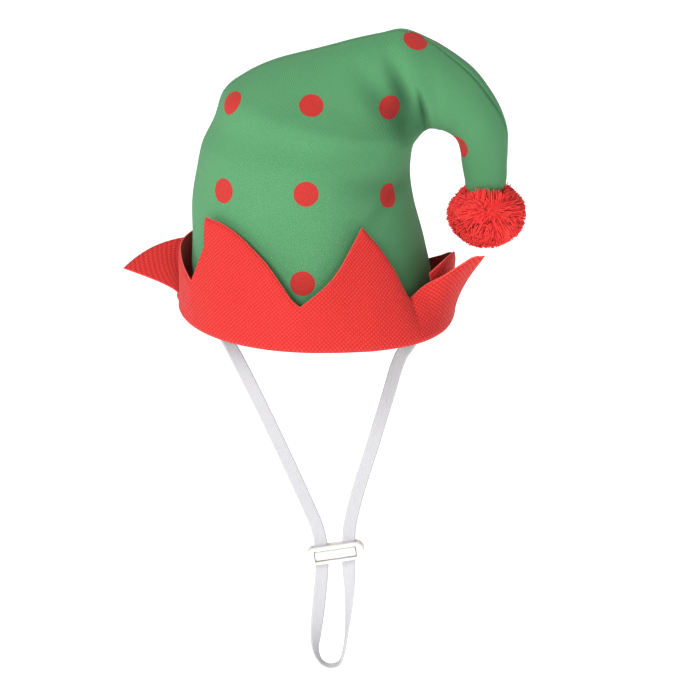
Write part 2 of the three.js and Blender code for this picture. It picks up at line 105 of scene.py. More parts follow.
# Sections of the crown from hem to shoulder, then of its curled peak: outer edge across and
# up, inner edge across and up, and depth as a share of the half width.
BODY_SECTIONS = [
    (-1.0, 0.0, 1.0, 0.0, 1.0),
    (-1.04, 0.08, 0.985, 0.08, 1.0),
    (-1.045, 0.225, 0.912, 0.225, 0.97),
    (-1.045, 0.375, 0.823, 0.375, 0.93),
    (-1.007, 0.485, 0.793, 0.485, 0.9),
    (-0.961, 0.577, 0.817, 0.581, 0.86),
    (-0.858, 0.67, 0.866, 0.611, 0.8),
    (-0.782, 0.772, 0.9, 0.627, 0.74),
    (-0.64, 0.822, 0.93, 0.637, 0.68),
    (-0.382, 0.877, 0.966, 0.641, 0.62),
    (0.22, 0.95, 1.0, 0.641, 0.62),
]
PEAK_SECTIONS = [
    (-0.738, 0.983, 0.025, 0.64, 0.64),
    (-0.437, 1.0, 0.057, 0.637, 0.66),
    (-0.054, 0.962, 0.11, 0.635, 0.7),
    (0.178, 0.926, 0.166, 0.629, 0.75),
    (0.55, 0.85, 0.247, 0.615, 0.8),
    (0.766, 0.778, 0.316, 0.592, 0.84),
    (0.919, 0.708, 0.358, 0.552, 0.85),
    (1.0, 0.633, 0.37, 0.522, 0.86),
    (1.0, 0.559, 0.386, 0.492, 0.88),
    (0.988, 0.503, 0.413, 0.455, 0.9),
    (0.973, 0.441, 0.44, 0.418, 0.95),
    (0.88, 0.395, 0.56, 0.385, 1.0),
]

# Creases pressed into the crown, as seen from the front: start and end as shares of the rim's
# radius and of the height, width and depth in millimetres, and the side, -1 for the front.
# Each is deepest where it starts.
CREASES = [
    (0.95, 0.65, 0.87, 0.78, 2.6, 3.0, -1),
    (0.83, 0.59, 0.63, 0.89, 4.0, 2.6, -1),
    (0.78, 0.47, 0.3, 0.5, 6.0, 1.6, -1),
    (0.95, 0.65, 0.8, 0.82, 3.2, 3.0, 1),
    (0.83, 0.57, 0.45, 0.72, 5.0, 2.2, 1),
]

# Stations round the cuff: angle of the fold and of the edge in degrees, height of the edge,
# radius of the edge and of the fold as shares, bend, and layer.
FRONT_START = [
    (-115, -115, 0.54, 0.975, 1.0, 1.4, -1),
    (-105, -105, 0.537, 0.99, 1.0, 1.4, -1),
    (-95, -95, 0.535, 0.998, 1.0, 1.4, -1),
    (-86, -86, 0.522, 1.0, 1.0, 1.4, 0),
    (-78, -78, 0.478, 1.004, 1.0, 1.4, 0),
    (-71.5, -71.5, 0.445, 1.008, 1.0, 1.4, 0),
    (-65, -65, 0.405, 1.012, 1.0, 1.4, 0),
    (-62.4, -61.7, 0.55, 0.997, 1.0, 1.4, 0),
    (-59.8, -58.9, 0.711, 0.974, 1.0, 1.4, 0),
    (-57, -58.7, 0.86, 0.951, 1.0, 1.4, 0),
    (-54, -59.8, 0.99, 0.935, 1.0, 1.4, 0),
    (-46, -48.1, 0.977, 0.915, 1.0, 1.4, 0),
    (-38, -38.6, 0.912, 0.9, 1.0, 1.4, 0),
    (-30.5, -30.5, 0.822, 0.905, 1.0, 1.4, 0),
    (-23, -22.8, 0.717, 0.925, 1.0, 1.4, 0),
    (-15.8, -15.7, 0.574, 0.955, 1.0, 1.4, 0),
    (-10.8, -10.4, 0.452, 0.985, 1.0, 1.4, 0),
]
BACK_START = [
    (-117, -117, 0.472, 0.936, 1.0, 1.4, -1),
    (-111, -111, 0.535, 0.985, 1.0, 1.4, -1),
    (-104, -104, 0.557, 1.01, 1.0, 1.4, -1),
    (-95, -95, 0.53, 1.017, 1.0, 1.4, -1),
    (-86, -86, 0.45, 1.016, 1.0, 1.4, 0),
    (-77, -77, 0.4, 1.01, 1.0, 1.4, 0),
    (-66, -66, 0.3, 1.0, 1.0, 1.4, 0),
    (-57, -57, 0.22, 0.985, 1.0, 1.4, 0),
    (-50, -50.5, 0.27, 0.97, 1.0, 1.4, 0),
    (-47, -48.5, 0.55, 0.955, 1.0, 1.4, 0),
    (-44, -46.5, 0.8, 0.945, 1.0, 1.4, 0),
    (-41, -44, 1.01, 0.95, 1.0, 1.4, 0),
    (-34, -37, 0.93, 0.9, 1.0, 1.4, 0),
    (-26, -28, 0.8, 0.91, 1.0, 1.4, 0),
    (-16, -17, 0.6, 0.955, 1.0, 1.4, 0),
]
MIDDLE = [
    (-6.6, -6.6, 0.396, 1.0, 1.0, 1.4, 0),
    (4, 3.7, 0.563, 0.977, 1.005, 1.4, 0),
    (10.5, 10.2, 0.691, 0.936, 1.015, 1.4, 0),
    (17.3, 17.1, 0.859, 0.88, 1.03, 1.4, 0),
    (24, 23.9, 1.006, 0.83, 1.054, 1.4, 0),
    (31.5, 31.3, 0.837, 0.88, 1.072, 1.4, 0),
    (37.5, 37.2, 0.646, 0.928, 1.088, 1.4, 0),
    (41.5, 41.3, 0.461, 0.961, 1.094, 1.4, 0),
    (45, 44.4, 0.346, 0.977, 1.098, 1.3, 0),
]
FRONT_END = [
    (52, 50.9, 0.448, 1.026, 1.096, 1.2, 0.5),
    (61, 56, 0.537, 1.137, 1.08, 1.15, 1),
    (70, 60.5, 0.628, 1.235, 1.052, 1.2, 1),
    (77.5, 62.5, 0.689, 1.308, 1.031, 1.3, 1),
    (84, 64, 0.698, 1.384, 1.018, 1.4, 1),
]
BACK_END = [
    (54, 50.6, 0.352, 1.117, 1.09, 1.2, 0.6),
    (64, 56, 0.34, 1.238, 1.07, 1.5, 1),
    (72, 60.5, 0.285, 1.368, 1.045, 1.8, 1),
    (78.5, 64.5, 0.208, 1.466, 1.03, 2.1, 1),
    (84, 68.3, 0.122, 1.542, 1.018, 2.3, 1),
]

# Way of the strap: drop, share of the way in, and twist in degrees.
LEFT_LEG = [
    (0.03, 0.03, 86),
    (0.09, 0.125, 62),
    (0.155, 0.22, 36),
    (0.23, 0.305, 14),
    (0.38, 0.463, 0),
    (0.57, 0.653, 0),
    (0.765, 0.84, 0),
    (0.9, 0.96, 0),
]
RIGHT_LEG = [
    (0.03, 0.02, 86),
    (0.09, 0.1, 62),
    (0.155, 0.24, 36),
    (0.2, 0.345, 14),
    (0.38, 0.525, 0),
    (0.57, 0.705, 0),
    (0.765, 0.895, 0),
    (0.9, 0.99, 0),
]
SMALL_LOOP = [
    (-0.5, 0.13, 0),
    (-0.57, 0.34, 4),
    (-0.66, 0.54, 14),
    (-0.74, 0.74, 38),
    (-0.72, 0.87, 68),
    (-0.52, 0.965, 88),
    (-0.2, 1.0, 90),
    (0.14, 0.975, 90),
    (0.3, 0.88, 90),
    (0.4, 0.74, 84),
    (0.48, 0.54, 64),
    (0.52, 0.34, 44),
    (0.5, 0.13, 10),
]

# Fine shape of the crown's cloth
CROWN_RINGS = 230
CROWN_SIDES = 168
SEAM_DEEP = 0.9
SEAM_WIDE = 0.8
SEAM_ROLL = 0.25
SEAM_ROLL_AT = 2.4
SEAM_LEAN = 0.45
SEAM_LEAN_AT = 0.71
SEAM_LEAN_LONG = 0.12
TAIL_SEAM_DEEP = 1.1
TAIL_SEAM_AT = 0.8
TAIL_SEAM_LONG = 0.13
FOLD_DEEP = 0.5
FOLD_LONG = 26
FOLD_SEED = 3
FOLD_RISE = 12
# Press depth at which the painted shade of creases and seams is full
PAINTED_SHADE_FULL_DEPTH = 4.4

# Creases of the cloth's surface: start and end in millimetres as seen from the front, width,
# depth, and the side, -1 for the front. Each is deepest where it ends.
FINE_CREASES = [
    (46.5, 110, 51.5, 86, 1.1, 2.0, -1),
    (32, 125, 47.3, 89, 2.8, 2.4, -1),
    (17, 119, 43.5, 87, 5.2, 2.6, -1),
    (26, 53, 42, 68, 3.2, 1.7, -1),
    (14, 74, 37, 66, 5.0, 0.8, -1),
    (46, 106, 52, 88, 1.6, 2.0, 1),
    (30, 110, 44, 86, 3.5, 1.8, 1),
    (-30, 60, 4, 70, 5.0, 1.0, 1),
]

# Fine shape of the cuff's cloth
CUFF_STEP = 0.8
CUFF_ROWS = 26
CUFF_WAVE = 0.5
CUFF_WAVE_LONG = 22
CUFF_WAVE_SHARE = 0.8
CURVE_SCALE = 60
CORNER_TURN = 0.1
CUT_DEEP = 0.05
CUT_THIN = 0.4
CUT_THIN_LONG = 2.6
FOLD_TURN = 15
FOLD_END = 2 + 90 // FOLD_TURN

# Fine shape of the strap and toggle
STRAP_STEPS = 520
STRAP_ACROSS = 16
STRAP_RIB = 0.75
STRAP_PICK = 0.55
STRAP_RIB_DEEP = 0.06
STRAP_EDGE_THIN = 0.3
STRAP_EDGE_STEEP = 9
PLATE_SIDES = 96
PLATE_ROUNDS = 6
TOGGLE_SOFT = 1
EDGE_ROUND = 0.12
EDGE_ANGLE = 35
BAR_SIDES = 20
BAR_BULGE = 0.75
BAR_STOPS = [
    (-1, 0.6),
    (-0.992, 0.8),
    (-0.97, 0.94),
    (-0.94, 1),
    (0.94, 1),
    (0.97, 0.94),
    (0.992, 0.8),
    (1, 0.6),
]

# Yarn of the pompom
STRAND_COUNT = 3900
STRAND_THICK = 0.4
STRAND_SIDES = 4
STRAND_STOPS = (0, 0.25, 0.5, 0.72, 0.88, 1)
STRAND_ROOT = 0.55
STRAND_TIP = (0.94, 1.0)
STRAND_LEAN = (0.35, 0.85)
STRAND_STRAY = 0.07
STRAND_TAPER = 0.45
STRAND_UNEVEN = (0.8, 1.25)
YARN_SEED = 7
WHORL = (0.21, -0.82, 0.52)
TUFT_SIZE = 0.34
TUFT_PULL = 0.6
TUFT_BULGE = 0.08
TUFT_WIDE = 4.5
CORE_SIZE = 0.84
CORE_SIDES = 40
# The core is dark with painted shade, where the strands would shade it
CORE_PAINTED_SHADE = 0.1

# Strands that stand up round the end of the peak
COLLAR_COUNT = 260
COLLAR_FROM = 0.5
COLLAR_NEAR = (0.5, 0.62)
COLLAR_TALL = (0.58, 0.68)
COLLAR_FRONT = 0.42
COLLAR_SPREAD = 0.1
COLLAR_DRIFT = 0.5

# Colours, as on the screen
GREEN = (82, 146, 98)
GREEN_LOW = (62, 126, 80)
GREEN_HIGH = (100, 168, 118)
GREEN_WORN = (114, 170, 118)
# Painted shade of the green in creases and seams
GREEN_PAINTED_SHADE = (22, 66, 38)
GREEN_BACK = (84, 142, 98)
DOT_LOW = (176, 38, 34)
DOT_HIGH = (216, 62, 54)
DOT_RIM = (120, 62, 44)
# Painted shade of the dots in creases and seams
DOT_PAINTED_SHADE = (120, 16, 22)
RED_LOW = (168, 14, 22)
RED_HIGH = (246, 71, 63)
RED_CUT = (252, 112, 98)
YARN = (255, 66, 64)
# Painted shade of the yarn at strand roots and between tufts
YARN_PAINTED_SHADE = (212, 20, 30)
YARN_LIGHT = (255, 104, 96)
ELASTIC = (204, 204, 207)
ELASTIC_LOW = (186, 186, 190)
PLASTIC = (236, 234, 230)
PLASTIC_LOW = (226, 223, 212)
FLOOR_PAPER = (250, 250, 250)
WHITE = (1, 1, 1, 1)

# Weave and unevenness of the materials: sizes in millimetres, and shares
GREEN_PITCH = 0.84
RED_PITCH = 1.4
WEAVE_DRIFT = 0.28
DRIFT_ACROSS = 2.6
DRIFT_UP = 3.4
FLUFF = 0.25
FLUFF_SIZE = 0.8
WORN_SIZE = 30
WORN_SHARE = 0.25
# How far creases and seams take on their painted shade at full depth
PAINTED_SHADE_SHARE = 0.8
CUFF_UNEVEN_SIZE = 26
CUFF_UNEVEN_SHARE = 0.15
CUFF_WEAVE_POWER = 0.6
CUT_PALE = 0.3
CUT_PALE_SHARE = 0.4
CUT_FUZZ = (0.6, 0.4)
RIB_SHARE = 0.7
PLASTIC_UNEVEN = (5, 1.2)
PLASTIC_SHARE = 0.3
YARN_LIGHT_SIZE = 1.5
YARN_LIGHT_SHARE = 0.4
YARN_FUZZ = 0.3

# Edge of the printed dots: how far the weave frays it, where it lies, and its darker rim
PRINT_FRAY = 0.12
PRINT_EDGE = 0.03
DOT_RIM_AT = 0.1
DOT_RIM_WIDE = 0.22
DOT_RIM_SHARE = 0.35

# Gloss of the cloths: weight and roughness of the sheen, and level of the specular
CROWN_GLOSS = (0.06, 0.5, 0.25)
CUFF_GLOSS = (0.05, 0.45, 0.2)
ELASTIC_GLOSS = (0.15, 0.5, 0.5)
YARN_GLOSS = (0.08, 0.4, 0.1)

# Relief of the materials: depth in millimetres, and strength
CROWN_RELIEF = (0.12, 0.8)
LINING_RELIEF = (0.14, 0.7)
CUFF_RELIEF = (0.3, 1.0)
CUT_RELIEF = (0.1, 1.0)
ELASTIC_RELIEF = (0.12, 0.8)
PLASTIC_RELIEF = (0.02, 0.5)
YARN_RELIEF = (0.15, 1.0)

# Studio
FLOOR_LEVEL = -260
FLOOR_HALF = 12
FLOOR_GLOW = 0.5
WORLD_LIGHT = 0.42
LIGHTS_AIM = (0.02, 0, 0.02)
LIGHTS = [
    ("key", (-1.3, -1.5, 1.3), 0.8, 34),
    ("front", (0.2, -2.2, 0.3), 0.9, 12),
    ("rim", (0.2, 1.4, 1.2), 1.0, 7),
]

# Printed dots, each by its middle in millimetres
DOT_RADIUS = 5.75
DOTS = [
    (-37.9, -12.7, 102.5),
    (-2.0, -25.7, 106.0),
    (34.2, -17.9, 101.8),
    (-41.7, -28.7, 65.8),
    (-4.4, -42.8, 69.0),
    (33.1, -25.6, 62.5),
    (-43.5, -32.5, 26.5),
    (-6.0, -50.9, 29.1),
    (33.0, -39.5, 24.0),
    (65.3, -4.4, 79.2),
    (45.2, -5.6, 130.2),
    (53.5, 5.5, 126.0),
    (-41.0, 35.2, 42.0),
    (-1.0, 48.5, 42.0),
    (37.0, 30.2, 42.0),
    (-37.0, 28.1, 82.0),
    (2.0, 37.5, 82.0),
    (36.0, 23.5, 82.0),
    (-20.0, 15.6, 113.0),
    (21.0, 13.9, 121.0),
    (80.0, 11.0, 88.0),
]


def up_from_hem(share):
    return HEM_LEVEL + share * (CROWN_TALL - HEM_LEVEL)


class Curve:
    """A smooth curve through points, of centripetal or uniform spacing."""

    def __init__(self, points, centripetal=True, corners=()):
        self.points = [Vector(p) for p in points]
        self.centripetal = centripetal
        self.corners = corners

    def _segment(self, i):
        p = self.points
        p1, p2 = p[i], p[i + 1]
        p0 = p[i - 1] if i > 0 and i not in self.corners else p1 * 2 - p2
        smooth_end = i + 2 < len(p) and i + 1 not in self.corners
        p3 = p[i + 2] if smooth_end else p2 * 2 - p1
        if self.centripetal:
            d = [max((b - a).length ** 0.5, TINY) for a, b in ((p0, p1), (p1, p2), (p2, p3))]
            t1 = ((p1 - p0) / d[0] - (p2 - p0) / (d[0] + d[1]) + (p2 - p1) / d[1]) * d[1]
            t2 = ((p2 - p1) / d[1] - (p3 - p1) / (d[1] + d[2]) + (p3 - p2) / d[2]) * d[1]
        else:
            t1 = (p2 - p0) / 2
            t2 = (p3 - p1) / 2
        return p1, p2, t1, t2

    def at(self, share):
        place = min(max(share, 0), 1) * (len(self.points) - 1)
        i = min(int(place), len(self.points) - 2)
        t = place - i
        a, b, ta, tb = self._segment(i)
        return (
            a * (2 * t**3 - 3 * t**2 + 1)
            + b * (3 * t**2 - 2 * t**3)
            + ta * (t**3 - 2 * t**2 + t)
            + tb * (t**3 - t**2)
        )

    def slope(self, share):
        return (self.at(share + TINY) - self.at(share - TINY)).normalized()


def crown_edges():
    """Curves of the crown's outer and inner edge from hem to tip, and of its depth."""
    rows = [(row, row[0] * RIM_RADIUS, row[2] * RIM_RADIUS) for row in BODY_SECTIONS]
    for row in PEAK_SECTIONS:
        rows.append((row, RIM_RADIUS + row[0] * CURL_REACH, RIM_RADIUS + row[2] * CURL_REACH))
    outer = Curve([(out, 0, up_from_hem(row[1])) for row, out, _ in rows])
    inner = Curve([(near, 0, up_from_hem(row[3])) for row, _, near in rows])
    depth = Curve([(i, 0, row[4]) for i, (row, _, _) in enumerate(rows)])
    return outer, inner, depth


OUTER, INNER, DEPTH = crown_edges()


def near_line(x, z, a, b):
    """Distance from a point to a line from a to b, and how far along it lies."""
    ab = (b[0] - a[0], b[1] - a[1])
    long = ab[0] ** 2 + ab[1] ** 2
    t = min(max(((x - a[0]) * ab[0] + (z - a[1]) * ab[1]) / long, 0), 1)
    return math.hypot(x - a[0] - t * ab[0], z - a[1] - t * ab[1]), t


def pressed_in(x, z, side):
    """How far the large creases press the crown in at a place seen from the front."""
    deep = 0
    for across, up, to_across, to_up, width, depth, on in CREASES:
        if on * side <= 0:
            continue
        start = (across * RIM_RADIUS, up_from_hem(up))
        end = (to_across * RIM_RADIUS, up_from_hem(to_up))
        away, along = near_line(x, z, start, end)
        deep += depth * fading(1 - along) * math.exp(-((away / width) ** 2))
    return deep


def fading(along):
    """Share of a crease's depth, from its shallow end at 0 to its deep end at 1."""
    return math.sin(math.pi * min(0.1 + 0.55 * along, 0.62))


def crown_point(share, angle, inset):
    """A point of the crown, as far from the hem as share says and round it by an angle."""
    outer, inner = OUTER.at(share), INNER.at(share)
    middle = (outer + inner) / 2
    half = outer - middle
    depth = half.length * DEPTH.at(share).z - inset
    half = half.normalized() * (half.length - inset)
    point = middle + half * math.cos(angle)
    back = math.sin(angle)
    press = pressed_in(point.x, point.z, back) * abs(back)
    point.y = back * depth - math.copysign(press, back)
    return point


def mesh_object(name, points, faces, uvs=None, looks=None):
    """A smooth mesh from points in millimetres, with cloth sizes in millimetres for each point
    and a material number for each face."""
    mesh = bpy.data.meshes.new(name)
    mesh.from_pydata([Vector(p) * MM for p in points], [], faces)
    if uvs:
        layer = mesh.uv_layers.new(name="Cloth")
        for loop in mesh.loops:
            layer.data[loop.index].uv = uvs[loop.vertex_index]
    for polygon in mesh.polygons:
        polygon.use_smooth = True
        if looks:
            polygon.material_index = looks[polygon.index]
    mesh.update()
    piece = bpy.data.objects.new(name, mesh)
    bpy.context.scene.collection.objects.link(piece)
    return piece


def grid_faces(rows, columns, wrap=False, start=0, flip=False):
    """Faces between neighbouring rows of a grid of points."""
    faces = []
    for r in range(rows - 1):
        for c in range(columns if wrap else columns - 1):
            d = (c + 1) % columns
            face = (r * columns + c, r * columns + d, (r + 1) * columns + d, (r + 1) * columns + c)
            if flip:
                face = face[::-1]
            faces.append(tuple(start + corner for corner in face))
    return faces


def point_values(piece, name, values):
    """Stores one number for each point, which a material reads by name."""
    layer = piece.data.attributes.new(name, "FLOAT", "POINT")
    layer.data.foreach_set("value", values)


def soft_noise(point, size, seed):
    return noise.noise(Vector(point) / size + Vector((seed, 0, 0)))


# Making the crown


def seam_angle(share):
    """The outer seam leans to the front where the peak curls over."""
    lean = math.exp(-(((share - SEAM_LEAN_AT) / SEAM_LEAN_LONG) ** 2))
    return -SEAM_LEAN * lean


def seam_press(share, angle, half):
    """How far the seams pull the cloth in, and the soft roll beside them stands out."""
    tail = TAIL_SEAM_DEEP * math.exp(-(((share - TAIL_SEAM_AT) / TAIL_SEAM_LONG) ** 2))
    deep = 0
    for seam, more in ((seam_angle(share), tail), (math.pi, 0)):
        away = abs(math.atan2(math.sin(angle - seam), math.cos(angle - seam))) * half
        deep += (SEAM_DEEP + more) * math.exp(-((away / SEAM_WIDE) ** 2))
        deep -= SEAM_ROLL * math.exp(-(((away - SEAM_ROLL_AT) / SEAM_ROLL_AT) ** 2))
    return deep


def crown_skin(inset):
    """Rings of points of the crown's outer or inner face, and how deep each lies pressed in."""
    skin, painted_shade_depths = [], []
    for i in range(CROWN_RINGS + 1):
        share = i / CROWN_RINGS
        middle = (OUTER.at(share) + INNER.at(share)) / 2
        ring = []
        for side in range(CROWN_SIDES):
            angle = TAU * side / CROWN_SIDES
            point = crown_point(share, angle, inset)
            back = math.sin(angle)
            half = (point - middle).length
            out = (point - middle).normalized()
            press = seam_press(share, angle, half) + fine_creases(point.x, point.z, back)
            fold = FOLD_DEEP * soft_noise(point, FOLD_LONG, FOLD_SEED)
            press += fold * min(1, share * FOLD_RISE)
            # How deep each point is pressed in sets its painted shade in creases and seams
            painted_shade_depths.append(press + pressed_in(point.x, point.z, back) * abs(back))
            ring.append(point - out * press)
        skin.append(ring)
    return skin, painted_shade_depths


def fine_creases(x, z, back):
    """How far the fine creases press the cloth in at a place seen from the front."""
    deep = 0
    for from_x, from_z, to_x, to_z, width, depth, on in FINE_CREASES:
        if on * back <= 0:
            continue
        away, along = near_line(x, z, (from_x, from_z), (to_x, to_z))
        deep += depth * fading(along) * math.exp(-((away / width) ** 2)) * abs(back)
    return deep


def cloth_sizes(skin):
    """Distance round each ring from its front and along each column, in millimetres."""
    sides = len(skin[0])
    front = (3 * sides) // 4
    along = [0.0] * sides
    sizes = []
    for i, ring in enumerate(skin):
        if i:
            for side in range(sides):
                along[side] += (ring[side] - skin[i - 1][side]).length
        lengths = [(ring[(side + 1) % sides] - ring[side]).length for side in range(sides)]
        place = [0.0] * sides
        for step in range(1, sides // 2 + 1):
            ahead, behind = (front + step) % sides, (front - step) % sides
            place[ahead] = place[(ahead - 1) % sides] + lengths[(ahead - 1) % sides]
            if step < sides - sides // 2:
                place[behind] = place[(behind + 1) % sides] - lengths[behind]
        sizes += [(place[side], along[side]) for side in range(sides)]
    return sizes


def dot_distance(point):
    """Distance to the edge of the nearest printed dot, in millimetres, negative inside."""
    return min((point - Vector(dot)).length for dot in DOTS) - DOT_RADIUS


def crown_wall(outside, inside):
    """Points, faces and material numbers of the crown: its outer and inner face, its hem, and
    the tip of each face."""
    sides = CROWN_SIDES
    rows = CROWN_RINGS + 1
    points = [point for ring in outside + inside for point in ring]
    start = rows * sides
    faces = grid_faces(rows, sides, wrap=True)
    looks = [0] * len(faces)
    faces += grid_faces(rows, sides, wrap=True, start=start, flip=True)
    faces += [(c, start + c, start + (c + 1) % sides, (c + 1) % sides) for c in range(sides)]
    looks += [1] * (len(faces) - len(looks))
    for look, rings in enumerate((outside, inside)):
        last = look * start + (rows - 1) * sides
        points.append(sum(rings[-1], Vector()) / sides)
        for c in range(sides):
            face = (last + c, last + (c + 1) % sides, len(points) - 1)
            faces.append(face[::-1] if look else face)
            looks.append(look)
    return points, faces, looks


def make_crown():
    outside, painted_shade_depths = crown_skin(0)
    inside, _ = crown_skin(CROWN_WALL)
    points, faces, looks = crown_wall(outside, inside)
    sizes = cloth_sizes(outside)
    uvs = sizes + sizes + [sizes[-1], sizes[-1]]
    crown = mesh_object("crown_cloth", points, faces, uvs, looks)
    point_values(crown, "dot", [dot_distance(point) for point in points])
    # Painted shade: darker the deeper the cloth is pressed in at creases and seams
    painted_shades = [min(max(deep / PAINTED_SHADE_FULL_DEPTH, 0), 1) for deep in painted_shade_depths]
    point_values(crown, "painted_crease_shade", painted_shades + [0.0] * (len(points) - len(painted_shades)))
    crown.data.materials.append(crown_material())
    crown.data.materials.append(lining_material())
    return crown


# Making the cuff


def is_corner(tall, i):
    """Whether the edge turns sharply up or down at a station, or ends there."""
    if i in (0, len(tall) - 1):
        return True
    before, after = tall[i - 1] - tall[i], tall[i + 1] - tall[i]
    return before * after > 0 and abs(before + after) > CORNER_TURN


def on_circle(angle, radius, up):
    """A point at an angle in degrees round the hat, 0 at the front."""
    turned = math.radians(angle)
    return Vector((radius * math.sin(turned), -radius * math.cos(turned), up))


def cuff_stations(table):
    """The edge, the fold and the layer at close stations, with corners only where the edge has
    them. Heights and radii are enlarged, to weigh as much as the angles in the curves."""
    tall = [row[2] for row in table]
    corners = {i for i in range(len(table)) if is_corner(tall, i)}
    scale = CURVE_SCALE
    edge = Curve([(row[1], row[2] * scale, row[3] * scale) for row in table], False, corners)
    fold = Curve([(row[0], row[4] * scale, row[5]) for row in table], False)
    layer = [row[6] for row in table]
    stations = []
    last = len(table) - 1
    for i in range(last):
        a, b = table[i], table[i + 1]
        wide = math.radians(b[1] - a[1]) * CUFF_RADIUS
        rise = (b[2] - a[2]) * TOOTH_TALL
        steps = max(3, round(math.hypot(wide, rise) / CUFF_STEP))
        for step in range(steps):
            share = (i + step / steps) / last
            mixed = layer[i] + (layer[i + 1] - layer[i]) * step / steps
            stations.append((edge.at(share), fold.at(share), mixed))
    stations.append((edge.at(1), fold.at(1), layer[-1]))
    return stations


def cuff_foot(foot, fold, lip, level):
    """The folded rim at one station, from its lip inside the hem to the foot of the wall."""
    hem = RIM_RADIUS - CROWN_WALL
    points = [on_circle(foot, hem, lip), on_circle(foot, (hem + fold) / 2, (lip + level) / 2)]
    for turned in range(0, 91, FOLD_TURN):
        out = fold - CUFF_FOLD * (1 - math.sin(math.radians(turned)))
        up = level + CUFF_FOLD * (1 - math.cos(math.radians(turned)))
        points.append(on_circle(foot, out, up))
    return points


def cuff_column(station, number, seed):
    """Outer face of the cuff at one station, from the lip to the edge."""
    edge, bottom, layer = station
    top, tall, reach = edge.x, edge.y / CURVE_SCALE, edge.z / CURVE_SCALE
    foot, spread, bend = bottom.x, bottom.y / CURVE_SCALE, bottom.z
    level = CUFF_LAYER * max(-layer, 0)
    fold = spread * CUFF_RADIUS - level
    points = cuff_foot(foot, fold, CUFF_LAYER * (1 - max(layer, 0)), level)
    start = level + CUFF_FOLD
    for row in range(1, CUFF_ROWS + 1):
        share = row / CUFF_ROWS
        radius = fold + (reach * CUFF_RADIUS - fold) * share**bend
        height = start + (tall * TOOTH_TALL - start) * share
        angle = foot + (top - foot) * share
        wave = soft_noise(on_circle(angle, radius, height), CUFF_WAVE_LONG, seed) * CUFF_WAVE
        wave *= math.sin(math.pi * share * CUFF_WAVE_SHARE)
        points.append(on_circle(angle, radius + wave, height))
    points[-1].z += CUT_DEEP * (1 if number % 2 else -1)
    return points


def cuff_sizes(face):
    """Across and up on the cloth for each point, as if the wall were unrolled."""
    sizes = []
    foot = 0
    for r, line in enumerate(face):
        if r:
            foot += (line[FOLD_END] - face[r - 1][FOLD_END]).length
        across, up = foot, 0
        for c, point in enumerate(line):
            if c:
                before = line[c - 1]
                radius, radius_before = math.hypot(point.x, point.y), math.hypot(before.x, before.y)
                turn = math.atan2(point.x, -point.y) - math.atan2(before.x, -before.y)
                turn = math.remainder(turn, TAU)
                across += turn * (radius + radius_before) / 2
                up += math.hypot(radius - radius_before, point.z - before.z)
            sizes.append((across, up))
    return sizes


def from_cut(face, r, c):
    """Distance of a point from the nearest cut edge."""
    return min((cut - face[r][c]).length for cut in (face[r][-1], face[0][c], face[-1][c]))


def moved_in(face, wall):
    """The inner face of the cuff, a wall's thickness in, and thinner beside the cut edges."""
    rows, columns = len(face), len(face[0])
    back = []
    for r, line in enumerate(face):
        moved = []
        for c, point in enumerate(line):
            along = face[min(r + 1, rows - 1)][c] - face[max(r - 1, 0)][c]
            across = line[min(c + 1, columns - 1)] - line[max(c - 1, 0)]
            thick = CUT_THIN + (1 - CUT_THIN) * min(1, from_cut(face, r, c) / CUT_THIN_LONG)
            moved.append(point + along.cross(across).normalized() * wall * thick)
        back.append(moved)
    return back


def edge_faces(rows, columns):
    """Faces that join two equal grids of points all the way round, the second after the first."""
    start = rows * columns
    last = (rows - 1) * columns
    faces = []
    for r in range(rows - 1):
        a, b = r * columns, (r + 1) * columns
        faces.append((a, b, start + b, start + a))
        a, b = a + columns - 1, b + columns - 1
        faces.append((b, a, start + a, start + b))
    for c in range(columns - 1):
        faces.append((c + 1, c, start + c, start + c + 1))
        faces.append((last + c, last + c + 1, start + last + c + 1, start + last + c))
    return faces


def make_cuff(name, table, turned, seed):
    """One half of the cuff, turned to the back where turned is true."""
    face = [cuff_column(s, number, seed) for number, s in enumerate(cuff_stations(table))]
    back = moved_in(face, CUFF_WALL)
    rows, columns = len(face), len(face[0])
    points = [p for line in face + back for p in line]
    faces = grid_faces(rows, columns)
    faces += grid_faces(rows, columns, start=rows * columns, flip=True)
    looks = [0] * len(faces)
    faces += edge_faces(rows, columns)
    looks += [1] * (len(faces) - len(looks))
    if turned:
        half_turn = Matrix.Rotation(math.pi, 3, "Z")
        points = [half_turn @ p for p in points]
    cuff = mesh_object(name, points, faces, cuff_sizes(face) * 2, looks)
    cut = [from_cut(face, r, c) for r in range(rows) for c in range(columns)]
    point_values(cuff, "from_cut", cut * 2)
    for material in (cuff_material(), cut_edge_material()):
        cuff.data.materials.append(material)
    return cuff


# Making the strap and the toggle


def strap_route():
    """Points of the strap from one sewn end to the other: across, up and twist in degrees."""
    inset = CROWN_WALL + STRAP_GAP + STRAP_THICK / 2

    def tab(edge, side, share):
        wall = edge.at(share)
        return (wall.x + side * inset, wall.z, 90)

    def leg(start, end, rows):
        way = end - start
        return [(start + way * share, -drop * TOGGLE_DROP, turn) for drop, share, turn in rows]

    left = TOGGLE_SHIFT - LEGS_APART / 2
    right = TOGGLE_SHIFT + LEGS_APART / 2
    start = -RIM_RADIUS + inset
    loop = [
        (TOGGLE_SHIFT + across * LEGS_APART, -TOGGLE_DROP - drop * LOOP_DROP, turn)
        for across, drop, turn in SMALL_LOOP
    ]
    return [
        tab(OUTER, 1, TAB_END),
        tab(OUTER, 1, TAB_MIDDLE),
        (start, HEM_LEVEL, 90),
        *leg(start, left, LEFT_LEG),
        (left, -TOGGLE_DROP, 0),
        *loop,
        (right, -TOGGLE_DROP, 0),
        *leg(-start, right, RIGHT_LEG)[::-1],
        (-start, HEM_LEVEL, 90),
        tab(INNER, -1, TAB_MIDDLE),
        tab(INNER, -1, TAB_END),
    ]


